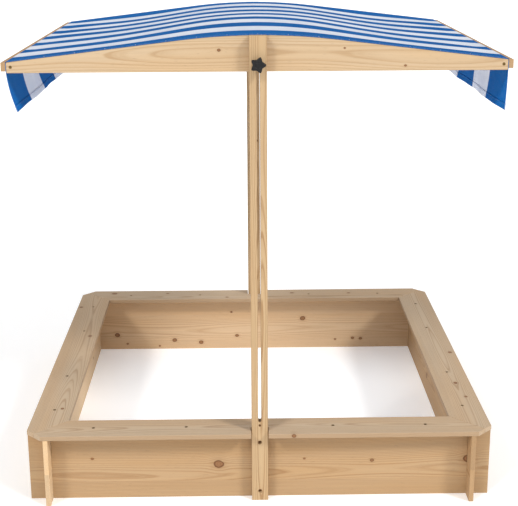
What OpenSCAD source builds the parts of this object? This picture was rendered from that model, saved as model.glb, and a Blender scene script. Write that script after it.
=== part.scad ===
// Square wooden sandbox with bench seats and a striped cloth roof.
// The roof rides on two slotted posts and is clamped there by two star knobs.
// Right-handed frame: X to the right, Y to the rear, Z up, origin on the ground under the centre.

/* [Box walls] */
// Length of every wall board, and of each side of the seat frame
box_w = 1200; // [1100:10:1300]
// Height of the wall boards
wall_h = 185; // [160:5:220]
// Thickness of the wall boards
wall_t = 12; // [10:1:16]
// Length of the wall end that runs past the crossing wall
wall_tail = 46; // [40:1:56]
// Play in the half-lap slots where two walls cross
lap_play = 0.4; // [0.2:0.1:1]

/* [Seats] */
// Width of the seat boards
seat_w = 100; // [80:5:130]
// Thickness of the seat boards
seat_t = 12; // [10:1:18]
// Leg of the 45 degree cut across each outer corner
seat_corner = 40; // [20:1:50]
// Open joint between two mitred seat boards
mitre_gap = 0.6; // [0.2:0.1:2]
// Play at each side of a post in its seat notch
notch_play = 1.5; // [0.5:0.5:3]

/* [Posts] */
// Width of a post, seen from the front
post_w = 42; // [36:1:50]
// Depth of a post, from front to back
post_t = 24; // [20:1:28]
// Height of a post
post_h = 1198; // [1160:1:1240]
// Width of the slot in a post
slot_w = 8; // [7.5:0.5:10]
// Height of the centre of the slot's lower round end
slot_low = 224; // [216:1:400]

/* [Roof frame] */
// Height of the lower edge of the gable boards
gable_z = 1112; // [1000:1:1112]
// Length of a gable board
gable_w = 1188; // [1100:2:1188]
// Height of a gable board at its centre
gable_h = 85; // [80:1:90]
// Thickness of a gable board
gable_t = 12; // [10:1:16]
// Slope of the straight part of the roof, in degrees
roof_pitch = 6.8; // [5:0.1:6.9]
// Half length of the rounded crown of the roof
crown_half = 183; // [120:1:240]
// Width and height of the battens between the gables at the eaves
batten_size = [20, 21]; // [14:1:24]
// Thickness of the outer rails that clamp the cloth against the battens
rail_t = 11; // [8:1:14]
// Width and height of the ridge bar
ridge_size = [20, 28]; // [16:1:30]

/* [Cloth] */
// Thickness of the cloth solid
cloth_t = 2; // [1:0.5:3]
// Gap between the cloth solid and the curved wood under it
cloth_gap = 0.2; // [0.1:0.1:0.5]
// How far the hem of a valance hangs below the gables
valance_drop = 95; // [60:5:110]
// How far a valance leans inward at its hem
valance_lean = 12; // [0:1:60]
// Spacing of the staples along a gable
staple_step = 72; // [50:1:120]

/* [Roof clamps] */
// Radius of the clamp bolt
bolt_r = 3; // [2.5:0.5:3]
// Height of the bolt above the lower edge of the gables
bolt_rise = 20; // [18:1:26]
// Radius of a star knob over its lobes
knob_r = 19; // [16:0.5:19]
// Thickness of the star part of a knob
knob_t = 14; // [10:1:16]
// Radius and length of the hub behind the star
hub_size = [8, 9]; // [7:0.5:12]
// Outer radius of the washers
washer_r = 10; // [8:0.5:12]
// Thickness of the washers
washer_t = 1.6; // [1:0.1:2]

/* [Clearances] */
// Gap between faces that slide past each other
slide_gap = 0.3; // [0.2:0.1:0.5]
// Radial gap of the bolt in the turning insert
run_gap = 0.05; // [0.02:0.01:0.1]
// Radial gap of a screw in its hole
hole_gap = 0.05; // [0.02:0.01:0.1]

/* [Hidden] */
$fn = 48;

half_w = box_w / 2;
// Distance of a wall's middle plane and of its outer face from the centre
wall_c = half_w - wall_tail - wall_t / 2;
wall_out = half_w - wall_tail;
seat_z = wall_h;
seat_top = wall_h + seat_t;

// A post stands on the outer face of its wall
post_back = wall_out;
post_front = post_back + post_t;

// The gables run behind the posts
gable_front = post_back - slide_gap;
gable_back = gable_front - gable_t;
gable_half = gable_w / 2;
gable_top = gable_z + gable_h;
crown_r = crown_half / sin(roof_pitch);
crown_drop = crown_r * (1 - cos(roof_pitch));
function roof_z(x) = gable_top - (abs(x) < crown_half
    ? crown_r - sqrt(crown_r * crown_r - x * x)
    : crown_drop + (abs(x) - crown_half) * tan(roof_pitch));

// The cloth turns down between batten and rail
cloth_half = gable_half + cloth_t;
eave_z = roof_z(gable_half);
eave_gap = 0.1;
hem_z = gable_z - valance_drop;

bolt_z = gable_z + bolt_rise;
washer_front = post_front + slide_gap + washer_t;
knob_back = washer_front + 0.1;
knob_front = knob_back + hub_size[1] + knob_t;
knob_cap = 5;
bolt_tip = knob_front - knob_cap - 2;
bolt_head = [7, 3];
neck_size = [6.4, 5];
insert_size = [5, 14];

// Screws: [length, shank radius, head radius, head height]
seat_screw = [40, 2, 4, 3.2];
roof_screw = [38, 1.8, 3.6, 2.8];
rail_screw = [24, 1.6, 3.2, 2.4];
post_screw = [30, 2.5, 4.5, 3];
slot_screw = [18, 1.7, 3.2, 2.4];
post_sink = [5.2, 6];
post_screw_z = [26, 164];
slot_screw_z = 212;
seat_screw_x = [-430, -190, 190, 430];
rail_screw_y = [-510, -170, 170, 510];
batten_screw = [gable_half - batten_size[0] / 2, gable_z + 14];
ridge_screw_z = gable_top - ridge_size[1] / 2;
recess = [0.9, 0.62, 1.4];

pine = [0.86, 0.72, 0.55];
pale_pine = [0.90, 0.79, 0.64];
steel = [0.70, 0.70, 0.72];
brass = [0.80, 0.66, 0.34];

// ---------- repeated shapes ----------

// Turns a front or right-hand piece round to the other side
module opposite() {
    rotate([0, 0, 180]) children();
}

// Countersunk cross-head screw: head face at the origin, shank along -Z
module screw(size, gap = 0) {
    length = size[0];
    shank_r = size[1] + gap;
    head_r = size[2] + gap;
    head_h = size[3];
    difference() {
        union() {
            translate([0, 0, -head_h]) cylinder(h = head_h, r1 = shank_r, r2 = head_r);
            translate([0, 0, -length - gap]) cylinder(h = length - head_h + gap, r = shank_r);
        }
        if (gap == 0) cross_recess(size[2]);
    }
}

module cross_recess(head_r) {
    arm = head_r * recess[1];
    for (turn = [0, 90])
        rotate([0, 0, turn])
            translate([-arm, -recess[0] / 2, -recess[2]])
                cube([2 * arm, recess[0], recess[2] + 1]);
}

// Points +Z of the child to the front (-Y) at a point on the front face
module on_front(x, y, z) {
    translate([x, -y, z]) rotate([90, 0, 0]) children();
}

// Points +Z of the child to the right (+X) at a point on the right face
module on_right(x, y, z) {
    translate([x, y, z]) rotate([0, 90, 0]) children();
}

// ---------- box ----------

module seat_screws_front(gap = 0) {
    for (x = seat_screw_x)
        translate([x, -wall_c, seat_top]) screw(seat_screw, gap);
}

module post_screws_front(gap = 0) {
    for (z = post_screw_z)
        on_front(0, post_front - post_sink[1], z) screw(post_screw, gap);
    on_front(0, post_front, slot_screw_z) screw(slot_screw, gap);
}

// Wall board along X, at the front; lap slots open at the top or at the bottom
module wall_board(slot_from_top) {
    lap_w = wall_t + lap_play;
    lap_z = slot_from_top ? wall_h / 2 - lap_play / 2 : -1;
    difference() {
        translate([-half_w, -wall_out, 0]) cube([box_w, wall_t, wall_h]);
        for (side = [-1, 1])
            translate([side * wall_c - lap_w / 2, -wall_out - 1, lap_z])
                cube([lap_w, wall_t + 2, wall_h / 2 + 1 + lap_play / 2]);
        seat_screws_front(hole_gap);
    }
}

module end_wall() {
    color(pine)
        difference() {
            wall_board(true);
            post_screws_front(hole_gap);
        }
}

module side_wall() {
    color(pine) rotate([0, 0, 90]) wall_board(false);
}

// Mitred seat board along X, at the front
module seat_board() {
    cut = half_w - seat_corner;
    mid = half_w - seat_corner / 2;
    inner = half_w - seat_w;
    g = mitre_gap / 2;
    translate([0, 0, seat_z])
        linear_extrude(seat_t)
            polygon([
                [-mid + g, -mid], [-cut, -half_w], [cut, -half_w],
                [mid - g, -mid], [inner - g, -inner], [-inner + g, -inner]
            ]);
}

module end_seat() {
    notch = post_w + 2 * notch_play;
    color(pale_pine)
        difference() {
            seat_board();
            translate([-notch / 2, -half_w - 1, seat_z - 1])
                cube([notch, wall_tail + 1 + slide_gap, seat_t + 2]);
            seat_screws_front(hole_gap);
        }
}

module side_seat() {
    color(pale_pine)
        rotate([0, 0, 90])
            difference() {
                seat_board();
                seat_screws_front(hole_gap);
            }
}

module seat_screw_row() {
    color(brass) seat_screws_front();
}

module post_screw_set() {
    color(steel) post_screws_front();
}

module slot_cut() {
    run = bolt_z - slot_low;
    translate([-slot_w / 2, -post_front - 1, slot_low]) cube([slot_w, post_t + 2, run]);
    for (z = [slot_low, bolt_z])
        on_front(0, post_back - 1, z) cylinder(h = post_t + 2, r = slot_w / 2);
}

module post() {
    color(pine)
        difference() {
            translate([-post_w / 2, -post_front, 0]) cube([post_w, post_t, post_h]);
            slot_cut();
            post_screws_front(hole_gap);
            for (z = post_screw_z)
                on_front(0, post_front - post_sink[1], z)
                    cylinder(h = post_sink[1] + 1, r = post_sink[0]);
        }
}

// ---------- roof frame ----------

// Everything below the roof line, down to the lower edge of the gables
module roof_section(half) {
    polygon([
        [-half, gable_z], [half, gable_z], [half, roof_z(half)],
        [crown_half, roof_z(crown_half)], [-crown_half, roof_z(crown_half)],
        [-half, roof_z(half)]
    ]);
    intersection() {
        translate([0, gable_top - crown_r]) circle(r = crown_r, $fn = 360);
        translate([-crown_half, gable_z]) square([2 * crown_half, gable_h]);
    }
}

module gable_screws_front(gap = 0) {
    for (side = [-1, 1])
        on_front(side * batten_screw[0], gable_front, batten_screw[1]) screw(roof_screw, gap);
    on_front(0, gable_front, ridge_screw_z) screw(roof_screw, gap);
}

module gable() {
    color(pale_pine)
        difference() {
            on_front(0, gable_back, 0)
                linear_extrude(gable_t) roof_section(gable_half);
            gable_screws_front(hole_gap);
            bolt_hole();
        }
}

module bolt_hole() {
    side = neck_size[0] + 2 * hole_gap;
    on_front(0, gable_back - 1, bolt_z) cylinder(h = gable_t + 2, r = bolt_r + hole_gap);
    on_front(0, gable_back - 1, bolt_z)
        translate([-side / 2, -side / 2, 0]) cube([side, side, neck_size[1] + 1]);
}

module gable_screw_set() {
    color(brass) gable_screws_front();
}

module ridge() {
    color(pine)
        difference() {
            translate([-ridge_size[0] / 2, -gable_back, gable_top - ridge_size[1] - eave_gap])
                cube([ridge_size[0], 2 * gable_back, ridge_size[1]]);
            gable_screws_front(hole_gap);
            opposite() gable_screws_front(hole_gap);
        }
}

module rail_screws_right(gap = 0) {
    z = eave_z - batten_size[1] / 2;
    for (y = rail_screw_y)
        on_right(cloth_half + rail_t, y, z) screw(rail_screw, gap);
}

module batten() {
    color(pine)
        difference() {
            translate([gable_half - batten_size[0], -gable_back, eave_z - batten_size[1] - eave_gap])
                cube([batten_size[0], 2 * gable_back, batten_size[1]]);
            gable_screws_front(hole_gap);
            opposite() gable_screws_front(hole_gap);
            rail_screws_right(hole_gap);
        }
}

module rail() {
    color(pale_pine)
        difference() {
            translate([cloth_half, -gable_front, eave_z - batten_size[1] - eave_gap])
                cube([rail_t, 2 * gable_front, batten_size[1]]);
            rail_screws_right(hole_gap);
        }
}

module rail_screw_set() {
    color(brass) rail_screws_right();
}

// ---------- cloth ----------

module canopy_cloth() {
    color([0.25, 0.48, 0.76])
        on_front(0, -gable_front, 0)
            linear_extrude(2 * gable_front)
                difference() {
                    translate([0, cloth_gap + cloth_t]) roof_section(cloth_half);
                    translate([0, cloth_gap]) roof_section(cloth_half + 1);
                }
}

module valance() {
    outer = cloth_half - eave_gap;
    inner = gable_half + eave_gap;
    top = roof_z(cloth_half) - eave_gap;
    color([0.25, 0.48, 0.76])
        difference() {
            on_front(0, -gable_front, 0)
                linear_extrude(2 * gable_front)
                    polygon([
                        [inner, top], [outer, top], [outer, gable_z],
                        [outer - valance_lean, hem_z], [inner - valance_lean, hem_z],
                        [inner, gable_z]
                    ]);
            rail_screws_right(hole_gap);
        }
}

// Staple across the gable edge: crown on the cloth, two legs in the wood
module staple(x, y) {
    crown = [1, 8, 0.7];
    leg = 7;
    top = roof_z(x) + cloth_gap + cloth_t + eave_gap;
    translate([x - crown[0] / 2, y - crown[1] / 2, top]) {
        cube(crown);
        for (end = [0, crown[1] - crown[0]])
            translate([0, end, -leg]) cube([crown[0], crown[0], leg]);
    }
}

module staples() {
    count = floor((gable_half - 30) / staple_step);
    mid = (gable_front + gable_back) / 2;
    color(steel)
        for (i = [-count:count], side = [-1, 1])
            staple(i * staple_step, side * mid);
}

// ---------- roof clamps ----------

module bolt() {
    shank = bolt_tip - gable_back;
    color(steel) {
        on_front(0, gable_back, bolt_z) cylinder(h = shank, r = bolt_r);
        on_front(0, gable_back, bolt_z)
            translate([-neck_size[0] / 2, -neck_size[0] / 2, 0])
                cube([neck_size[0], neck_size[0], neck_size[1]]);
        on_front(0, gable_back - bolt_head[1], bolt_z)
            cylinder(h = bolt_head[1], r1 = bolt_head[0] * 0.6, r2 = bolt_head[0]);
    }
}

module washer() {
    color(steel)
        on_front(0, post_front + slide_gap, bolt_z)
            difference() {
                cylinder(h = washer_t, r = washer_r);
                translate([0, 0, -1]) cylinder(h = washer_t + 2, r = bolt_r + 0.3);
            }
}

module star_outline() {
    valley_at = knob_r * 1.32;
    valley_r = knob_r * 0.66;
    difference() {
        circle(r = knob_r);
        for (i = [0:4])
            rotate(36 + 72 * i) translate([valley_at, 0]) circle(r = valley_r);
    }
}

module knob() {
    edge = 3;
    color([0.08, 0.08, 0.08])
        on_front(0, knob_back, bolt_z)
            difference() {
                union() {
                    cylinder(h = hub_size[1] + 1, r = hub_size[0]);
                    translate([0, 0, hub_size[1]])
                        intersection() {
                            linear_extrude(knob_t) star_outline();
                            union() {
                                cylinder(h = edge, r1 = knob_r - edge / 2, r2 = knob_r + 0.5);
                                translate([0, 0, edge])
                                    cylinder(h = knob_t - 2 * edge, r = knob_r + 0.5);
                                translate([0, 0, knob_t - edge])
                                    cylinder(h = edge, r1 = knob_r + 0.5, r2 = knob_r - edge);
                            }
                        }
                }
                translate([0, 0, -1])
                    cylinder(h = insert_size[1] + 1, r = insert_size[0] + hole_gap);
                translate([0, 0, insert_size[1] - 1])
                    cylinder(h = bolt_tip - knob_back - insert_size[1] + 2, r = bolt_r + 0.3);
            }
}

module insert() {
    color(brass)
        on_front(0, knob_back, bolt_z)
            difference() {
                cylinder(h = insert_size[1], r = insert_size[0]);
                translate([0, 0, -1])
                    cylinder(h = insert_size[1] + 2, r = bolt_r + run_gap);
            }
}

// ---------- nodes ----------

end_wall();  // front_wall
opposite() end_wall();  // rear_wall
opposite() side_wall();  // left_wall
side_wall();  // right_wall
end_seat();  // front_seat
opposite() end_seat();  // rear_seat
opposite() side_seat();  // left_seat
side_seat();  // right_seat
post();  // front_post
opposite() post();  // rear_post
post_screw_set();  // front_post_screws
opposite() post_screw_set();  // rear_post_screws
seat_screw_row();  // front_seat_screws
opposite() seat_screw_row();  // rear_seat_screws
rotate([0, 0, -90]) seat_screw_row();  // left_seat_screws
rotate([0, 0, 90]) seat_screw_row();  // right_seat_screws
gable();  // front_gable
opposite() gable();  // rear_gable
ridge();  // ridge_bar
opposite() batten();  // left_batten
batten();  // right_batten
opposite() rail();  // left_rail
rail();  // right_rail
canopy_cloth();  // canopy
opposite() valance();  // left_valance
valance();  // right_valance
staples();  // cloth_staples
gable_screw_set();  // front_gable_screws
opposite() gable_screw_set();  // rear_gable_screws
opposite() rail_screw_set();  // left_rail_screws
rail_screw_set();  // right_rail_screws
bolt();  // front_bolt
opposite() bolt();  // rear_bolt
washer();  // front_washer
opposite() washer();  // rear_washer
knob();  // front_knob
opposite() knob();  // rear_knob
insert();  // front_insert
opposite() insert();  // rear_insert
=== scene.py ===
"""Looks of the sandbox with its striped cloth roof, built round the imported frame. Metres, +Z up."""
import math
import random

import bpy
from mathutils import Matrix, Vector, noise


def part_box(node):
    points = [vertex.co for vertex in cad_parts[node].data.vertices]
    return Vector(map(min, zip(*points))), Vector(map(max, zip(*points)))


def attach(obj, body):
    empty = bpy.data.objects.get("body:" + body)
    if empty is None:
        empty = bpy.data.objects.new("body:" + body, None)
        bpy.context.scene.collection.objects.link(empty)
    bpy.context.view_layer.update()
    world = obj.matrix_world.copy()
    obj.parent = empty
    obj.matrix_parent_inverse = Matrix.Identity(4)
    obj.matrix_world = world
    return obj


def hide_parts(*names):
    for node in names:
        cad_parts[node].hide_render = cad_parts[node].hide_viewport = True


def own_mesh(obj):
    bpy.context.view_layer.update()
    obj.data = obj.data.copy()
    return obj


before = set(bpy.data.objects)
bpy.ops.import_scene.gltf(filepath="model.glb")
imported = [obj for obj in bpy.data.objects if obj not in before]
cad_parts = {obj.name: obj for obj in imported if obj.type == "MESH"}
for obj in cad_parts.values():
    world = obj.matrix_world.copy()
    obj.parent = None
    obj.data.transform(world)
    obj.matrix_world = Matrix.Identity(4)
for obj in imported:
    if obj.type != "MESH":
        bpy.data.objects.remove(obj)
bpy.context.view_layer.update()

MM = 0.001
TAU = 2 * math.pi
dice = random.Random(11)


def srgb(red, green, blue):
    """Display colour, 0 to 255, as the linear colour that a shader takes."""
    def linear(value):
        value /= 255
        return value / 12.92 if value < 0.04045 else ((value + 0.055) / 1.055) ** 2.4
    return (linear(red), linear(green), linear(blue), 1.0)


# ---------- node trees ----------

class Graph:
    """Short names for building a shader tree."""

    def __init__(self, tree):
        self.nodes, self.links = tree.nodes, tree.links

    def put(self, socket, value):
        if isinstance(value, bpy.types.NodeSocket):
            self.links.new(value, socket)
        elif value is not None:
            socket.default_value = value

    def node(self, kind, *values, **settings):
        made = self.nodes.new("ShaderNode" + kind)
        for name, value in settings.items():
            setattr(made, name, value)
        for socket, value in zip(made.inputs, values):
            self.put(socket, value)
        return made

    def math(self, operation, *values):
        return self.node("Math", *values, operation=operation).outputs[0]

    def vector(self, operation, *values):
        made = self.node("VectorMath", *values, operation=operation)
        scalar = operation in ("LENGTH", "DISTANCE", "DOT_PRODUCT")
        return made.outputs["Value" if scalar else "Vector"]

    def join(self, x, y, z):
        return self.node("CombineXYZ", x, y, z).outputs[0]

    def split(self, value):
        return self.node("SeparateXYZ", value).outputs

    def step(self, value, low, high, from_value=0.0, to_value=1.0):
        """Smooth rise from from_value to to_value as value goes from low to high."""
        made = self.node("MapRange", value, low, high, from_value, to_value)
        made.interpolation_type = "SMOOTHSTEP"
        return made.outputs[0]

    def noise(self, place, stretch, detail=2.0):
        """Noise from 0 to 1, stretch cycles a metre along each axis."""
        made = self.node("TexNoise", self.vector("MULTIPLY", place, stretch))
        made.inputs["Scale"].default_value = 1.0
        made.inputs["Detail"].default_value = detail
        return made.outputs["Fac"]

    def mix(self, factor, first, second):
        made = self.node("Mix", data_type="RGBA")
        for index, value in ((0, factor), (6, first), (7, second)):
            self.put(made.inputs[index], value)
        return made.outputs[2]

    def shade(self, colour, amount):
        """Colour made lighter or darker by a factor."""
        return self.vector("MULTIPLY", colour, self.join(amount, amount, amount))

    def edge(self, radius):
        """1 on convex and concave edges, 0 on flat faces."""
        rounded = self.node("Bevel", radius, samples=4).outputs[0]
        flat = self.node("NewGeometry").outputs["Normal"]
        return self.step(self.vector("DOT_PRODUCT", rounded, flat), 0.99, 0.8)


def start_material(name):
    """A new material with its graph and its principled shader."""
    material = bpy.data.materials.new(name)
    material.use_nodes = True
    graph = Graph(material.node_tree)
    shader = material.node_tree.nodes["Principled BSDF"]
    return material, graph, shader


def bump(graph, shader, height, distance):
    made = graph.node("Bump")
    made.inputs["Strength"].default_value = 1.0
    made.inputs["Distance"].default_value = distance
    graph.put(made.inputs["Height"], height)
    graph.put(shader.inputs["Normal"], made.outputs[0])


# ---------- wood ----------

TONES = {
    # early wood, late wood, warm cast
    "wall": (srgb(179, 149, 113), srgb(149, 112, 74), srgb(179, 141, 95)),
    # pale and light are lighter copies of the wall's pine: pale is painted light that lifts the rear wall out
    # of the shade it stands in, and light is partly a paler board and partly painted light on the left wall's
    # inner face
    "pale": (srgb(200, 171, 137), srgb(168, 131, 93), srgb(200, 163, 120)),
    "light": (srgb(215, 189, 154), srgb(181, 146, 106), srgb(215, 181, 136)),
    "seat": (srgb(186, 164, 137), srgb(156, 126, 94), srgb(186, 154, 118)),
    "post": (srgb(188, 160, 123), srgb(146, 108, 68), srgb(188, 149, 103)),
    "gable": (srgb(194, 171, 141), srgb(172, 140, 102), srgb(196, 163, 122)),
    "bar": (srgb(182, 154, 120), srgb(154, 117, 79), srgb(182, 145, 102)),
}
KNOT_HEART = srgb(150, 108, 72)
KNOT_RIM = srgb(104, 68, 42)
# Waver of a knot's outline, how strongly it bends the grain, and how fast that fades, in knot radii
KNOT_WAVER = 0.5
KNOT_PULL = 0.8
KNOT_FADE = 0.22
# A knot is longer along the board than across it, and goes right through
KNOT_STRETCH = 1.25
KNOT_DEPTH = 60 * MM


def make_knot_group():
    """One knot: bends the grain round itself and keeps the distance to the nearest knot."""
    tree = bpy.data.node_groups.new("knot", "ShaderNodeTree")
    for name, kind in (("Point", "Vector"), ("Bent", "Vector"), ("Near", "Float"),
                       ("Centre", "Vector"), ("Closeness", "Vector")):
        tree.interface.new_socket(name, in_out="INPUT", socket_type="NodeSocket" + kind)
    for name, kind in (("Bent", "Vector"), ("Near", "Float")):
        tree.interface.new_socket(name, in_out="OUTPUT", socket_type="NodeSocket" + kind)
    g = Graph(tree)
    given = tree.nodes.new("NodeGroupInput").outputs
    result = tree.nodes.new("NodeGroupOutput").inputs
    reach = g.vector("MULTIPLY", g.vector("SUBTRACT", given["Point"], given["Centre"]), given["Closeness"])
    waver = g.math("MULTIPLY_ADD", g.noise(given["Point"], (90, 90, 90)), KNOT_WAVER, -KNOT_WAVER / 2)
    far = g.math("ADD", g.vector("LENGTH", reach), waver)
    fade = g.math("EXPONENT", g.math("MULTIPLY", g.math("MULTIPLY", far, far), -KNOT_FADE))
    pull = g.math("MULTIPLY", fade, KNOT_PULL)
    shift = g.vector("MULTIPLY", g.vector("SUBTRACT", given["Bent"], given["Centre"]), g.join(0.0, pull, 0.0))
    g.put(result["Bent"], g.vector("SUBTRACT", given["Bent"], shift))
    g.put(result["Near"], g.math("MINIMUM", given["Near"], far))
    return tree


knot_group = make_knot_group()


# Distance to the nearest knot where a board has placed none yet, in knot radii
NO_KNOT = 9.0
# Where the second strip of a glued board was cut from, against the first one
STRIP_OFFSET = (0.7, 0.021, 0.012)
# Waver of the log's heart across the board, and of its rings
HEART_DRIFT = (0.0, 0.05, 0.05)
RING_RIPPLE = 1.1 * MM
# How far a sawn end and a narrow side go toward the colour of late wood
END_DARK = 0.22
NARROW_DARK = 0.55


def bend_round_knots(g, point, knots, centre, order):
    """The point moved as the grain bends round the knots, and the distance to the nearest knot."""
    bent, near = point, None
    for place, radii in knots:
        local = Vector(place) - centre
        knot = g.nodes.new("ShaderNodeGroup")
        knot.node_tree = knot_group
        g.put(knot.inputs["Point"], point)
        g.put(knot.inputs["Bent"], bent)
        g.put(knot.inputs["Near"], NO_KNOT if near is None else near)
        g.put(knot.inputs["Centre"], [local[index] for index in order])
        g.put(knot.inputs["Closeness"], [1 / radius for radius in radii])
        bent, near = knot.outputs["Bent"], knot.outputs["Near"]
    return bent, near


def wandering(g, log, seed):
    """The place in the log, with the heart wandering slowly along the board."""
    drift = g.node("TexNoise", g.vector("MULTIPLY", g.vector("ADD", log, seed), (1.1, 3.0, 3.0)))
    drift.inputs["Scale"].default_value = 1.0
    drift.inputs["Detail"].default_value = 1.0
    drift = g.vector("SUBTRACT", drift.outputs["Color"], (0.5, 0.5, 0.5))
    return g.vector("ADD", log, g.vector("MULTIPLY", drift, HEART_DRIFT))


def late_wood(g, log, ring):
    """1 in the dark late wood of each year's ring, 0 in its early wood. ring is a year's growth."""
    radius = g.vector("LENGTH", g.vector("MULTIPLY", log, (0.0, 1.0, 1.0)))
    ripple = g.math("MULTIPLY", g.noise(log, (5, 70, 70)), RING_RIPPLE)
    year = g.math("DIVIDE", g.math("ADD", radius, ripple), ring)
    phase = g.math("FRACT", year)
    late = g.math("MULTIPLY", g.step(phase, 0.3, 0.86), g.step(phase, 1.0, 0.9))
    vigour = g.node("TexNoise", None, g.math("MULTIPLY", year, 0.7), noise_dimensions="1D")
    return g.math("MULTIPLY", late, g.step(vigour.outputs["Fac"], 0.3, 0.7, 0.3, 1.0))


def with_knots(g, colour, height, near, late_colour):
    """Colour and height with the knots drawn in: a dark rim, rings inside and a shade round it."""
    colour = g.mix(g.step(near, 2.6, 1.0, 0.0, 0.3), colour, late_colour)
    rings = g.math("SINE", g.math("MULTIPLY", near, 19.0))
    inside = g.mix(g.math("MULTIPLY_ADD", rings, 0.2, 0.3), KNOT_HEART, KNOT_RIM)
    inside = g.mix(g.step(near, 0.55, 0.98), inside, KNOT_RIM)
    colour = g.mix(g.step(near, 1.2, 0.95), colour, inside)
    height = g.math("SUBTRACT", height, g.step(near, 1.2, 1.0, 0.0, 0.8))
    return colour, height


def wood(name, node, axes, tone, knots, ring, seam, end_contrast):
    """Pine for one board. axes names the row axes along, across and through the board.
    knots are (place in the row frame, radii along, across and through). seam is where a glued
    joint runs along the board, measured across it in the row frame, or None. end_contrast is how
    much lighter the sawn end of the upper strip is than that of the lower one."""
    material, g, shader = start_material(name)
    low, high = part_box(node)
    centre = (low + high) / 2
    order = ["xyz".index(letter) for letter in axes]
    here = g.node("TexCoord").outputs["Object"]
    parts = g.split(g.vector("SUBTRACT", here, centre))
    point = g.join(*(parts[index] for index in order))
    bent, near = bend_round_knots(g, point, knots, centre, order)

    # The board is cut from a log whose heart runs in front of it or behind it
    seed = Vector([dice.uniform(-9, 9) for _ in range(3)])
    heart = (0.0, dice.uniform(-0.02, 0.02), dice.choice((-1, 1)) * dice.uniform(0.035, 0.06))
    log = g.vector("SUBTRACT", bent, heart)
    strip = None
    if seam is not None:
        strip = g.math("GREATER_THAN", g.split(point)[1], seam - centre[order[1]])
        log = g.vector("ADD", log, g.vector("MULTIPLY", g.join(strip, strip, strip), STRIP_OFFSET))
    log = wandering(g, log, seed)
    late = late_wood(g, log, ring)

    early_colour, late_colour, warm_colour = TONES[tone]
    broad = g.noise(g.vector("ADD", log, seed), (1.3, 14, 14))
    streak = g.noise(log, (2.2, 190, 190), 3.0)
    fibre = g.noise(log, (24, 1500, 1500))
    colour = g.mix(g.step(broad, 0.35, 0.75, 0.0, 0.7), early_colour, warm_colour)
    colour = g.mix(g.math("MULTIPLY", late, 0.72), colour, late_colour)
    light = g.math("ADD", g.math("MULTIPLY_ADD", streak, 0.20, 0.86), g.math("MULTIPLY", fibre, 0.08))
    if strip is not None:
        light = g.math("MULTIPLY_ADD", strip, 0.035, g.math("SUBTRACT", light, 0.02))
    canal = g.step(g.noise(log, (60, 900, 900), 0.0), 0.74, 0.82, 1.0, 0.82)
    colour = g.shade(colour, g.math("MULTIPLY", light, canal))

    # Sawn ends and narrow sides are darker, and the eased edges a little paler
    facing = g.split(g.node("TexCoord").outputs["Normal"])
    end = g.step(g.math("ABSOLUTE", facing[order[0]]), 0.8, 0.95)
    narrow = g.step(g.math("ABSOLUTE", facing[order[1]]), 0.8, 0.95)
    darker = g.math("ADD", g.math("MULTIPLY", end, END_DARK), g.math("MULTIPLY", narrow, NARROW_DARK))
    colour = g.mix(darker, colour, late_colour)
    if strip is not None:
        change = g.math("MULTIPLY", end, g.math("SUBTRACT", strip, 0.5))
        colour = g.shade(colour, g.math("MULTIPLY_ADD", change, end_contrast, 1.0))
    colour = g.shade(colour, g.math("MULTIPLY_ADD", g.edge(2 * MM), 0.07, 1.0))

    height = g.math("ADD", g.math("MULTIPLY", late, 0.5), g.math("MULTIPLY", fibre, 0.35))
    if near is not None:
        colour, height = with_knots(g, colour, height, near, late_colour)
    g.put(shader.inputs["Base Color"], colour)
    g.put(shader.inputs["Roughness"], g.math("MULTIPLY_ADD", streak, 0.25, 0.48))
    shader.inputs["Specular IOR Level"].default_value = 0.3
    bump(g, shader, height, 0.25 * MM)
    return material


def dress(node, material):
    """Gives a CAD node its material."""
    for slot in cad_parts[node].material_slots:
        slot.material = material


# Points this close are one, faces this near to level are one, and edges sharper than this are eased
WELD_WITHIN = 0.002 * MM
LEVEL_WITHIN = math.radians(0.5)
SHARPER_THAN = math.radians(40)
EASE_SEGMENTS = 3


def ease_edges(node, width):
    """Rounds a CAD node's edges a little, as sanding or moulding does."""
    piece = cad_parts[node]
    weld = piece.modifiers.new("weld", "WELD")
    weld.merge_threshold = WELD_WITHIN
    flat = piece.modifiers.new("whole_faces", "DECIMATE")
    flat.decimate_type = "DISSOLVE"
    flat.angle_limit = LEVEL_WITHIN
    bevel = piece.modifiers.new("eased_edges", "BEVEL")
    bevel.width = width
    bevel.segments = EASE_SEGMENTS
    bevel.limit_method = "ANGLE"
    bevel.angle_limit = SHARPER_THAN
    bevel.use_clamp_overlap = False
    bevel.loop_slide = False
    normals = piece.modifiers.new("flat_faces", "WEIGHTED_NORMAL")
    normals.weight = 100


def knots_on(node, places, axes):
    """Knots through a board, as (place, radii along, across and through).
    places are (along, across, radius) in the row frame."""
    low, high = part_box(node)
    made = []
    for along, across, size in places:
        point = list((low + high) / 2)
        point["xyz".index(axes[0])] = along
        point["xyz".index(axes[1])] = across
        made.append((point, (size * KNOT_STRETCH, size, KNOT_DEPTH)))
    return made


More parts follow.
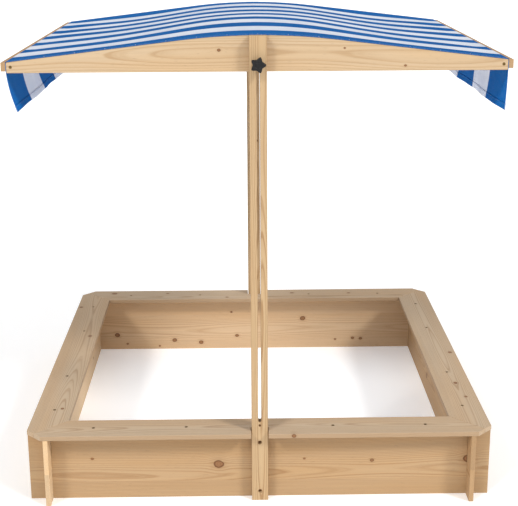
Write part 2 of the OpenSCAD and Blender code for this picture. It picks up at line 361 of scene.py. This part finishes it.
BOARDS = {
    # node: axes, tone, ring width, seam, knots as (along, across, radius)
    "front_wall": ("xzy", "wall", 3.4 * MM, 0.047, [
        (-0.436, 0.112, 3 * MM), (-0.107, 0.093, 10 * MM), (0.116, 0.106, 2.5 * MM),
        (0.293, 0.099, 4 * MM), (0.545, 0.101, 10 * MM)]),
    # The rear wall's pale tone is painted light against the shade on its inner face
    "rear_wall": ("xzy", "pale", 3.2 * MM, 0.125, [
        (-0.483, 0.053, 7 * MM), (-0.448, 0.020, 3 * MM), (-0.335, 0.011, 3 * MM),
        (-0.282, 0.032, 6 * MM), (-0.189, 0.023, 6 * MM), (-0.062, 0.047, 5 * MM),
        (-0.081, 0.135, 3 * MM), (0.169, 0.109, 7 * MM), (0.284, 0.030, 3 * MM),
        (0.346, 0.034, 4.5 * MM), (0.374, 0.032, 4.5 * MM)]),
    # The left wall's light tone is partly a paler board and partly painted light on its inner face
    "left_wall": ("yzx", "light", 3.0 * MM, 0.090, [(-0.21, 0.10, 6 * MM), (0.33, 0.05, 4 * MM)]),
    "right_wall": ("yzx", "wall", 3.3 * MM, 0.090, [(0.12, 0.06, 7 * MM), (-0.35, 0.13, 4 * MM)]),
    "front_seat": ("xyz", "seat", 2.8 * MM, None, []),
    "rear_seat": ("xyz", "seat", 2.8 * MM, None, [
        (-0.490, 0.570, 7 * MM), (-0.304, 0.566, 4 * MM), (-0.095, 0.520, 4 * MM),
        (0.132, 0.561, 5 * MM), (0.330, 0.555, 4 * MM)]),
    "left_seat": ("yxz", "seat", 2.9 * MM, None, [
        (0.142, -0.523, 5 * MM), (-0.423, -0.528, 4 * MM), (0.426, -0.588, 5 * MM)]),
    "right_seat": ("yxz", "seat", 2.9 * MM, None, [
        (-0.273, 0.558, 5 * MM), (-0.371, 0.569, 4 * MM), (-0.033, 0.584, 5 * MM)]),
    "front_post": ("zxy", "post", 2.6 * MM, None, []),
    "rear_post": ("zxy", "post", 2.6 * MM, None, [(0.74, 0.012, 3 * MM)]),
    "front_gable": ("xzy", "gable", 3.0 * MM, None, [
        (-0.092, 1.163, 3.5 * MM), (0.205, 1.166, 2 * MM), (0.350, 1.124, 2.5 * MM)]),
    "rear_gable": ("xzy", "gable", 3.0 * MM, None, [(0.21, 1.150, 4 * MM), (-0.33, 1.14, 3 * MM)]),
    "ridge_bar": ("yzx", "bar", 2.5 * MM, None, []),
    "left_batten": ("yzx", "bar", 2.4 * MM, None, []),
    "right_batten": ("yzx", "bar", 2.4 * MM, None, []),
    "left_rail": ("yzx", "bar", 2.4 * MM, None, []),
    "right_rail": ("yzx", "bar", 2.4 * MM, None, []),
}
# How much lighter the sawn end of the upper strip is than that of the lower one
END_CONTRAST = {"left_wall": 0.16, "right_wall": -0.16}
# The knot that shows on the front edge of the front seat: its place along it, its height in the
# edge and its radii
EDGE_KNOT_X = 0.087
EDGE_KNOT_RISE = 7 * MM
EDGE_KNOT_RADII = (5.5 * MM, 12 * MM, 4.5 * MM)
BOARD_EASE = 1.2 * MM
BAR_EASE = 0.8 * MM


def dress_boards():
    """Pine and eased edges on every board and bar."""
    for node, (axes, tone, ring, seam, places) in BOARDS.items():
        knots = knots_on(node, places, axes)
        if node == "front_seat":
            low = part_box(node)[0]
            edge_knot = (EDGE_KNOT_X, low.y, low.z + EDGE_KNOT_RISE)
            knots.append((edge_knot, EDGE_KNOT_RADII))
        end_contrast = END_CONTRAST.get(node, 0.0)
        dress(node, wood(node + "_pine", node, axes, tone, knots, ring, seam, end_contrast))
        ease_edges(node, BAR_EASE if tone == "bar" else BOARD_EASE)


# ---------- metal and plastic ----------

def metal(name, colour, second, roughness):
    """Plated steel or brass: cloudy colour, fine scratches and satin gloss."""
    material, g, shader = start_material(name)
    here = g.node("TexCoord").outputs["Object"]
    cloud = g.noise(here, (260, 260, 260), 3.0)
    scratch = g.noise(here, (2600, 500, 2600), 1.0)
    g.put(shader.inputs["Base Color"], g.mix(g.step(cloud, 0.3, 0.7), colour, second))
    g.put(shader.inputs["Roughness"], g.math("MULTIPLY_ADD", cloud, 0.2, roughness))
    shader.inputs["Metallic"].default_value = 1.0
    bump(g, shader, scratch, 0.03 * MM)
    return material


def black_plastic():
    """Moulded plastic with a fine spark-eroded grain, paler and glossier on its edges."""
    material, g, shader = start_material("knob_black_plastic")
    here = g.node("TexCoord").outputs["Object"]
    grain = g.noise(here, (1900, 1900, 1900), 2.0)
    cloud = g.noise(here, (120, 120, 120), 2.0)
    edge_band = g.edge(1.2 * MM)
    colour = g.mix(g.step(cloud, 0.3, 0.7), srgb(12, 12, 13), srgb(20, 20, 21))
    colour = g.mix(g.math("MULTIPLY", edge_band, 0.35), colour, srgb(46, 46, 48))
    g.put(shader.inputs["Base Color"], colour)
    g.put(shader.inputs["Roughness"], g.math("MULTIPLY_ADD", edge_band, -0.14, 0.5))
    shader.inputs["Specular IOR Level"].default_value = 0.35
    bump(g, shader, grain, 0.06 * MM)
    return material


def dress_hardware():
    """Metal on the bolts, washers, inserts, screws and staples."""
    zinc = metal("bright_zinc", srgb(196, 198, 202), srgb(170, 172, 178), 0.28)
    dull = metal("dull_zinc", srgb(140, 104, 72), srgb(108, 78, 52), 0.5)
    # The yellow zinc is darkened as painted shade, standing in for the shade in the screws' recesses; its
    # yellow cast is the plating's own
    yellow = metal("yellow_zinc", srgb(150, 124, 78), srgb(112, 90, 58), 0.36)
    brass = metal("turned_brass", srgb(212, 178, 98), srgb(190, 152, 80), 0.25)
    for end in ("front", "rear"):
        dress(end + "_bolt", zinc)
        dress(end + "_washer", zinc)
        dress(end + "_post_screws", dull)
        dress(end + "_gable_screws", yellow)
        dress(end + "_insert", brass)
        ease_edges(end + "_bolt", 0.4 * MM)
        ease_edges(end + "_washer", 0.25 * MM)
        ease_edges(end + "_insert", 0.2 * MM)
    for side in ("left", "right"):
        dress(side + "_rail_screws", yellow)
    for side in ("front", "rear", "left", "right"):
        dress(side + "_seat_screws", yellow)
    dress("cloth_staples", zinc)


# ---------- meshes ----------

def new_piece(name, points, faces, body, material):
    """A smooth-shaded mesh piece that rides on a body."""
    mesh = bpy.data.meshes.new(name)
    mesh.from_pydata(points, [], faces)
    mesh.materials.append(material)
    mesh.shade_smooth()
    piece = bpy.data.objects.new(name, mesh)
    bpy.context.scene.collection.objects.link(piece)
    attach(piece, body)
    return piece


def loft(rings):
    """Points and faces of a closed skin through rings with equal counts; both ends are capped."""
    count = len(rings[0])
    points = [point for ring in rings for point in ring]
    faces = []
    for row in range(len(rings) - 1):
        for i in range(count):
            a, b = row * count + i, row * count + (i + 1) % count
            faces.append((a, b, b + count, a + count))
    faces.append(tuple(reversed(range(count))))
    faces.append(tuple(range(len(points) - count, len(points))))
    return points, faces


LOBES = 5
# Radii of the hub, of the bore for the bolt and of the cap set into the front
HUB = 8 * MM
BOLT_BORE = 3.3 * MM
CAP = 7.2 * MM
# Play of the insert in the knob, depth of the bolt's bore, thickness of the star and depth of the
# groove round the cap
INSERT_PLAY = 0.05 * MM
BORE_END = 17 * MM
STAR_THICK = 14 * MM
GROOVE = 0.7 * MM
# Rounding of the star's back and front edges
BACK_ROUND = 2 * MM
FRONT_ROUND = 3 * MM
# The star's valleys, as a share of its reach, and how blunt its points are
VALLEY = 0.57
BLUNT = 0.11
KNOB_STEPS = 160


def star_outline(angle):
    """Radius of a star with rounded points, 1 at each point."""
    half_turn = TAU / (2 * LOBES)
    from_point = abs((angle + half_turn) % (2 * half_turn) - half_turn)

    def flank(off):
        rise = VALLEY * math.sin(half_turn)
        return rise / (rise * math.cos(off) + (1 - VALLEY * math.cos(half_turn)) * math.sin(off))

    eased = math.hypot(from_point, BLUNT)
    return flank(min(eased, half_turn)) / flank(BLUNT)


def star_knob(end, side):
    """Five-lobed clamping knob with a round hub. side is -1 at the front and 1 at the rear."""
    low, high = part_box(end + "_knob")
    insert_low, insert_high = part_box(end + "_insert")
    reach = max(-low.x, high.x)
    axis_z = (insert_low.z + insert_high.z) / 2
    back = high.y if side < 0 else low.y
    depth = high.y - low.y
    bore = (insert_high.x - insert_low.x) / 2 + INSERT_PLAY
    insert_depth = insert_high.y - insert_low.y
    star_back = depth - STAR_THICK

    def ring(far, radius=None, inset=0.0, blend=0.0):
        """Circle of that radius, star less inset, or a blend of the two, far in front of the back."""
        made = []
        for i in range(KNOB_STEPS):
            angle = TAU * i / KNOB_STEPS
            star = reach * star_outline(angle) - inset
            r = star if radius is None else radius * (1 - blend) + star * blend
            x, z = r * math.cos(angle), r * math.sin(angle)
            made.append((-side * x, back + side * far, axis_z + z))
        return made

    rings = [
        ring(BORE_END, BOLT_BORE), ring(insert_depth, BOLT_BORE), ring(insert_depth, bore),
        ring(0, bore), ring(0, HUB - 0.8 * MM), ring(0.25 * MM, HUB - 0.2 * MM),
        ring(0.9 * MM, HUB), ring(star_back - 1.6 * MM, HUB), ring(star_back - 0.5 * MM, HUB, blend=0.12),
        ring(star_back, HUB, blend=0.4), ring(star_back, inset=BACK_ROUND),
    ]
    back_steps, front_steps = 7, 8
    for turn in range(1, back_steps + 1):
        angle = math.pi / 2 * turn / back_steps
        rings.append(ring(star_back + BACK_ROUND * (1 - math.cos(angle)),
                          inset=BACK_ROUND * (1 - math.sin(angle))))
    for turn in range(front_steps + 1):
        angle = math.pi / 2 * turn / front_steps
        rings.append(ring(depth - FRONT_ROUND * (1 - math.sin(angle)),
                          inset=FRONT_ROUND * (1 - math.cos(angle))))
    rings += [
        ring(depth, CAP, blend=0.25), ring(depth, CAP + 0.3 * MM), ring(depth - GROOVE, CAP),
        ring(depth - GROOVE, CAP - 0.8 * MM), ring(depth - 0.2 * MM, CAP - 1.2 * MM),
        ring(depth - 0.05 * MM, CAP - 3 * MM), ring(depth, 1 * MM),
    ]
    points, faces = loft(rings)
    if side < 0:
        faces = [tuple(reversed(face)) for face in faces]
    return points, faces


def make_knobs():
    plastic = black_plastic()
    for end, side in (("front", -1), ("rear", 1)):
        points, faces = star_knob(end, side)
        knob = new_piece(end + "_star_knob", points, faces, end + "_knob", plastic)
        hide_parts(end + "_knob")


# ---------- cloth ----------

CLOTH_BLUE = srgb(8, 90, 160)
CLOTH_BLUE_WORN = srgb(14, 97, 168)
CLOTH_WHITE = srgb(222, 227, 238)
CLOTH_WHITE_SHADE = srgb(210, 216, 229)
# How much lighter or darker the cloth's colours are on the roof and on the valances: painted shade on the
# roof, against the strong light it gets, and painted light on the valances, standing in for light through the
# cloth
ROOF_PAINTED_SHADE = 0.86
VALANCE_PAINTED_LIGHT = 1.12
STRIPES = 13
VALANCE_STRIPE = 197 * MM
# Waver of a stripe's edge, and spacing of the yarns
STRIPE_BLEED = 1.0 * MM
YARN = 1.1 * MM
CLOTH_THICK = 0.7 * MM
HEM = 16 * MM
# Spacing and length of the stitches, and radius of their thread
STITCH_PITCH = 4.2 * MM
STITCH_LENGTH = 3 * MM
THREAD = 0.28 * MM
THREAD_SIDES = 6


def striped_cloth(name, across, stripe, tone):
    """Woven cloth with stripes across Y, the first one, at the front edge, blue. stripe is their width.
    across is the axis of the yarns that cross Y, and tone makes the colours lighter or darker, as painted
    light and shade."""
    material, g, shader = start_material(name)
    here = g.node("TexCoord").outputs["Object"]
    parts = g.split(here)
    along, other = parts[1], parts["xyz".index(across)]
    bleed = g.math("MULTIPLY", g.noise(here, (300, 300, 300)), STRIPE_BLEED)
    band = g.math("DIVIDE", g.math("ADD", g.math("ADD", along, bleed), HALF_Y), stripe)
    wave = g.math("SINE", g.math("MULTIPLY", band, math.pi))
    is_blue = g.step(wave, -0.03, 0.03)

    def yarn(position):
        turn = g.math("SINE", g.math("MULTIPLY", position, TAU / YARN))
        return g.math("ABSOLUTE", turn)

    weave = g.math("MULTIPLY", yarn(along), yarn(other))
    cloud = g.noise(here, (7, 7, 7), 3.0)
    slub = g.noise(here, (30, 900, 30), 1.0)
    blue = g.mix(g.step(cloud, 0.35, 0.7), CLOTH_BLUE, CLOTH_BLUE_WORN)
    white = g.mix(g.step(cloud, 0.35, 0.7), CLOTH_WHITE, CLOTH_WHITE_SHADE)
    colour = g.mix(is_blue, white, blue)
    light = g.math("ADD", g.math("MULTIPLY_ADD", weave, 0.10, 0.93), g.math("MULTIPLY", slub, 0.05))
    # tone is painted light and shade: it darkens the roof's cloth and lightens the valances'
    light = g.math("MULTIPLY", light, tone)
    g.put(shader.inputs["Base Color"], g.shade(colour, light))
    g.put(shader.inputs["Roughness"], g.math("MULTIPLY_ADD", weave, -0.1, 0.78))
    shader.inputs["Specular IOR Level"].default_value = 0.04
    bump(g, shader, weave, 0.12 * MM)
    return material


def thread_material():
    """Twisted sewing thread, a little paler than the blue stripes."""
    material, g, shader = start_material("sewing_thread")
    here = g.node("TexCoord").outputs["Object"]
    twist = g.noise(here, (1500, 3200, 1500), 1.0)
    colour = g.mix(twist, srgb(110, 142, 186), srgb(84, 118, 166))
    g.put(shader.inputs["Base Color"], colour)
    g.put(shader.inputs["Roughness"], g.math("MULTIPLY_ADD", twist, 0.2, 0.6))
    bump(g, shader, twist, 0.08 * MM)
    return material


def sheet_mesh(place, columns, rows, thickness):
    """Closed thin sheet. place(s, t) gives the middle surface, s and t from 0 to 1."""
    grid = [[Vector(place(i / columns, j / rows)) for i in range(columns + 1)] for j in range(rows + 1)]

    def normal(i, j):
        along = grid[j][min(i + 1, columns)] - grid[j][max(i - 1, 0)]
        up = grid[min(j + 1, rows)][i] - grid[max(j - 1, 0)][i]
        return along.cross(up).normalized()

    wide = columns + 1
    points = []
    for side in (0.5, -0.5):
        for j in range(rows + 1):
            points += [grid[j][i] + normal(i, j) * side * thickness for i in range(wide)]
    under = wide * (rows + 1)
    faces = []
    for j in range(rows):
        for i in range(columns):
            a = j * wide + i
            faces.append((a, a + 1, a + 1 + wide, a + wide))
            faces.append((under + a + wide, under + a + 1 + wide, under + a + 1, under + a))
    rim = list(range(wide))
    rim += [j * wide + columns for j in range(1, rows + 1)]
    rim += [rows * wide + i for i in range(columns - 1, -1, -1)]
    rim += [j * wide for j in range(rows - 1, 0, -1)]
    for a, b in zip(rim, rim[1:] + rim[:1]):
        faces.append((b, a, under + a, under + b))
    return points, faces


def stitches(path):
    """Short raised threads along a path of points."""
    points, faces = [], []
    carried = 0.0
    for start, stop in zip(path, path[1:]):
        run = (stop - start).length
        way = (stop - start).normalized()
        while carried < run:
            add_stitch(points, faces, start + way * carried, way)
            carried += STITCH_PITCH
        carried -= run
    return points, faces


def add_stitch(points, faces, centre, way):
    """One thread: a spindle, as rings of points at these shares of its length and radius."""
    side = way.orthogonal().normalized()
    up = way.cross(side)
    first = len(points)
    rings = ((-0.5, 0.35), (-0.3, 1.0), (0.3, 1.0), (0.5, 0.35))
    for along, size in rings:
        for k in range(THREAD_SIDES):
            angle = TAU * k / THREAD_SIDES
            offset = (side * math.cos(angle) + up * math.sin(angle)) * THREAD * size
            points.append(centre + way * along * STITCH_LENGTH + offset)
    for row in range(len(rings) - 1):
        for k in range(THREAD_SIDES):
            a, b = first + row * THREAD_SIDES + k, first + row * THREAD_SIDES + (k + 1) % THREAD_SIDES
            faces.append((a, b, b + THREAD_SIDES, a + THREAD_SIDES))
    last = first + (len(rings) - 1) * THREAD_SIDES
    faces.append(tuple(first + k for k in reversed(range(THREAD_SIDES))))
    faces.append(tuple(last + k for k in range(THREAD_SIDES)))


def roof_outline():
    """The canopy's upper outline, as (x, z) points read from its CAD solid."""
    tops = {}
    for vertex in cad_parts["canopy"].data.vertices:
        x = round(vertex.co.x, 5)
        tops[x] = max(tops.get(x, 0.0), vertex.co.z)
    return sorted(tops.items())


ROOF_LINE = roof_outline()


def roof_z(x):
    """Height of the canopy's upper side over x."""
    x = min(max(x, ROOF_LINE[0][0]), ROOF_LINE[-1][0])
    for (x0, z0), (x1, z1) in zip(ROOF_LINE, ROOF_LINE[1:]):
        if x <= x1:
            return z0 + (z1 - z0) * (x - x0) / (x1 - x0)
    return ROOF_LINE[-1][1]


def bell(value, centre, width):
    """1 at centre, falling smoothly to almost nothing at twice the width."""
    return math.exp(-((value - centre) / width) ** 2)


canopy_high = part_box("canopy")[1]
HALF_X, HALF_Y = canopy_high.x, canopy_high.y
# Rise of the cloth over the crown, its sag on the slopes, and the size of its wrinkles
HUMP = 10 * MM
SAG = 10 * MM
WRINKLE = 1.2 * MM
# Width of the strip at each eave in which the cloth comes down onto the wood
EAVE_STRIP = 30 * MM


def cloth_relief(x, y):
    """How far the cloth stands above the straight roof between its fixings."""
    depth = y / HALF_Y
    free = (1 - depth ** 2) ** 0.7
    hump = HUMP * bell(x, 0.0, 0.24) * bell(depth, -0.42, 0.5) * free
    slope = bell(abs(x), 0.37, 0.17)
    rear_hold = 1 - max(depth, 0.0) ** 8
    sag = SAG * slope * (free * 0.55 + rear_hold * max(depth, 0.0) * 0.6)
    ripple = noise.noise(Vector((x * 3.1, y * 5.3, 0.4))) * WRINKLE * free
    crease = WRINKLE * bell(abs(x), 0.56, 0.06) * math.sin(y * TAU / 0.19 + 1.3) * free
    edge = min(1.0, (HALF_X - abs(x)) / EAVE_STRIP)
    return (hump - sag + ripple + crease) * max(edge, 0.0)


# Radius at which the cloth turns down over an eave, and the share of the roof's cloth before it
ROLL = 3 * MM
BEFORE_ROLL = 0.94
# A valance lies this far inside the outer face of its CAD solid
VALANCE_INSET = 0.9 * MM
valance_low, valance_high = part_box("right_valance")
VALANCE_TOP = valance_high.z
VALANCE_X = valance_high.x - VALANCE_INSET
GABLE_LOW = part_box("front_gable")[0].z
# The valance is held down to the gable's lower edge, and hangs free below it
HELD = VALANCE_TOP - GABLE_LOW
FREE = math.hypot(GABLE_LOW - valance_low.z, valance_high.x - valance_low.x - 2 * VALANCE_INSET)
# Mean lean of each valance toward the middle, in degrees, and the steps in which its curve is laid
LEAN = {-1: 14.0, 1: 4.5}
VALANCE_STEPS = 10


def canopy_point(s, t):
    """Cloth over the roof, turning down at each eave where the valance takes over."""
    y = -HALF_Y + 2 * HALF_Y * t
    reach = 2 * s - 1
    side = -1 if reach < 0 else 1
    flat_half = VALANCE_X - ROLL
    if abs(reach) <= BEFORE_ROLL:
        x = flat_half * reach / BEFORE_ROLL
        return x, y, roof_z(x) - CLOTH_THICK / 2 + cloth_relief(x, y)
    turn = (abs(reach) - BEFORE_ROLL) / (1 - BEFORE_ROLL) * math.pi / 2
    top = roof_z(flat_half) - CLOTH_THICK / 2
    drop = top - VALANCE_TOP
    x = flat_half + ROLL * math.sin(turn)
    return side * x, y, top - drop * (1 - math.cos(turn))


def valance_point(side):
    """Surface of a valance: s runs along the eave and t down the cloth to the hem.
    It hangs nearly straight, curls inward a little toward the hem and waves softly."""

    def place(s, t):
        y = (-HALF_Y + 2 * HALF_Y * s) * (1 if side > 0 else -1)
        wave = 1.8 * math.sin(y * TAU / 0.41 + side) + 0.6 * math.sin(y * TAU / 0.17)
        lean = math.radians(LEAN[side] + wave)
        down = t * (HELD + FREE)
        x, z = VALANCE_X, VALANCE_TOP - min(down, HELD)
        loose = max(0.0, down - HELD)
        for i in range(VALANCE_STEPS):
            share = (i + 0.5) / VALANCE_STEPS * loose / FREE
            angle = lean * (0.4 + 1.2 * share)
            x -= math.sin(angle) * loose / VALANCE_STEPS
            z -= math.cos(angle) * loose / VALANCE_STEPS
        return side * x, y, z
    return place


def make_canopy():
    """The roof's cloth with its hems and seams along the gables."""
    cloth = striped_cloth("striped_roof_cloth_painted_shade", "x", 2 * HALF_Y / STRIPES, ROOF_PAINTED_SHADE)
    thread = thread_material()
    points, faces = sheet_mesh(canopy_point, 240, 150, CLOTH_THICK)
    canopy = new_piece("roof_cloth", points, faces, "roof", cloth)
    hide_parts("canopy")
    extras = []
    for end, side in (("front", -1), ("rear", 1)):
        extras += make_roof_hem(end, side, cloth, thread)


# Thickness of the cloth folded under at the roof's hems, and of the whole hem of a valance
ROOF_HEM_THICK = 1.0 * MM
VALANCE_HEM_THICK = 2.1 * MM


def make_roof_hem(end, side, cloth, thread):
    """Cloth folded under along a gable, with its seam."""
    inner = HALF_Y - HEM
    reach = VALANCE_X - ROLL

    def place(s, t):
        x = reach * (2 * s - 1)
        y = side * (inner + HEM * t)
        return x, y, roof_z(x) - CLOTH_THICK - ROOF_HEM_THICK / 2 + cloth_relief(x, y)

    def facing_up(s, t):
        return place(s if side > 0 else 1 - s, t)

    points, faces = sheet_mesh(facing_up, 200, 4, ROOF_HEM_THICK)
    hem = new_piece(end + "_roof_hem", points, faces, "roof", cloth)
    line = []
    line_steps = 240
    for i in range(line_steps + 1):
        x = reach * (2 * i / line_steps - 1)
        y = side * (inner + 2 * MM)
        line.append(Vector((x, y, roof_z(x) + cloth_relief(x, y) + 0.05 * MM)))
    points, faces = stitches(line)
    seam = new_piece(end + "_roof_seam", points, faces, "roof", thread)
    return [hem, seam]


def valance_seam(place, share):
    """Stitches on both faces of a valance, just below the top of its hem. share is the hem's share
    of the cloth's drop."""
    seam_points, seam_faces = [], []
    line_steps = 160
    for face_side in (-1, 1):
        line = []
        for i in range(line_steps + 1):
            point = Vector(place(i / line_steps, 1 - share + 0.02))
            line.append(point + Vector((face_side * VALANCE_HEM_THICK / 2, 0, 0)))
        first = len(seam_points)
        points, faces = stitches(line)
        seam_points += points
        seam_faces += [tuple(first + k for k in face) for face in faces]
    return seam_points, seam_faces


def make_valances():
    """The two hanging flaps of cloth, each with its hem and seam."""
    cloth = striped_cloth("striped_valance_cloth_painted_light", "z", VALANCE_STRIPE, VALANCE_PAINTED_LIGHT)
    thread = thread_material()
    drop = HELD + FREE
    share = HEM / drop
    for name, side in (("left", -1), ("right", 1)):
        place = valance_point(side)
        points, faces = sheet_mesh(place, 160, 28, CLOTH_THICK)
        valance = new_piece(name + "_valance_cloth", points, faces, "roof", cloth)
        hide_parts(name + "_valance")

        def hem_place(s, t, place=place):
            return place(s, 1 - share * (1 - t) - 0.002)

        points, faces = sheet_mesh(hem_place, 160, 5, VALANCE_HEM_THICK)
        hem = new_piece(name + "_valance_hem", points, faces, "roof", cloth)
        points, faces = valance_seam(place, share)
        seam = new_piece(name + "_valance_seam", points, faces, "roof", thread)
        for piece in (valance, hem, seam):
            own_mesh(piece)


# ---------- stage ----------

FLOOR_HALF = 40.0
FLOOR_GLOW = 0.2


def make_floor():
    """A plain pale floor that glows a little."""
    material, g, shader = start_material("floor_white")
    here = g.node("TexCoord").outputs["Object"]
    cloud = g.noise(here, (0.8, 0.8, 0.8))
    g.put(shader.inputs["Base Color"], g.mix(cloud, srgb(250, 250, 250), srgb(247, 247, 247)))
    shader.inputs["Emission Color"].default_value = (1.0, 1.0, 1.0, 1.0)
    shader.inputs["Emission Strength"].default_value = FLOOR_GLOW
    shader.inputs["Roughness"].default_value = 0.9
    shader.inputs["Specular IOR Level"].default_value = 0.1
    half = FLOOR_HALF
    mesh = bpy.data.meshes.new("floor")
    corners = [(-half, -half, 0), (half, -half, 0), (half, half, 0), (-half, half, 0)]
    mesh.from_pydata(corners, [], [(0, 1, 2, 3)])
    mesh.materials.append(material)
    floor = bpy.data.objects.new("floor", mesh)
    bpy.context.scene.collection.objects.link(floor)


# Angle that each soft light takes up in the sky, in degrees
LIGHT_SPREAD = 12.0


def soft_light(name, turn, rise, strength):
    """Broad distant light: turn is degrees to the right of the front, rise degrees above the floor."""
    light = bpy.data.lights.new(name, "SUN")
    light.energy = strength
    light.angle = math.radians(LIGHT_SPREAD)
    light.color = (1.0, 0.99, 0.97)
    lamp = bpy.data.objects.new(name, light)
    bpy.context.scene.collection.objects.link(lamp)
    turn, rise = math.radians(turn), math.radians(rise)
    lamp.location = (2 * math.sin(turn), -2 * math.cos(turn), 2 * math.tan(rise))
    lamp.rotation_mode = "QUATERNION"
    lamp.rotation_quaternion = (-lamp.location).to_track_quat("-Z", "Y")


def make_lights():
    """An even pale surround, a stronger light from the front right and a weaker one from the front left."""
    world = bpy.data.worlds.new("studio")
    bpy.context.scene.world = world
    world.use_nodes = True
    background = world.node_tree.nodes["Background"]
    background.inputs["Color"].default_value = (1.0, 1.0, 1.0, 1.0)
    background.inputs["Strength"].default_value = 0.6
    soft_light("key", 52.0, 40.0, 1.8)
    soft_light("fill", -42.0, 41.0, 1.35)
    bpy.context.scene.view_settings.view_transform = "Standard"


CAMERA_PLACE = (-0.041, -3.315, 1.461)
# Degrees that the camera looks down, is turned to the right and is tipped
CAMERA_ANGLES = (16.08, 0.86, -0.284)
CAMERA_LENS = 80.72
CAMERA_SENSOR = 36


def make_camera():
    """Camera in front of the sandbox, above it and looking a little down."""
    place = Vector(CAMERA_PLACE)
    pitch, yaw, roll = (math.radians(angle) for angle in CAMERA_ANGLES)
    forward = Vector((math.sin(yaw) * math.cos(pitch), math.cos(yaw) * math.cos(pitch), -math.sin(pitch)))
    right = Vector((math.cos(yaw), -math.sin(yaw), 0))
    up = right.cross(forward)
    turned_right = right * math.cos(roll) + up * math.sin(roll)
    turned_up = up * math.cos(roll) - right * math.sin(roll)
    camera = bpy.data.objects.new("camera", bpy.data.cameras.new("camera"))
    bpy.context.scene.collection.objects.link(camera)
    camera.data.sensor_width = CAMERA_SENSOR
    camera.data.lens = CAMERA_LENS
    turn = Matrix((turned_right, turned_up, -forward)).transposed().to_4x4()
    camera.matrix_world = Matrix.Translation(place) @ turn
    bpy.context.scene.camera = camera


make_camera()
make_lights()
make_floor()
dress_boards()
dress_hardware()
make_knobs()
make_canopy()
make_valances()
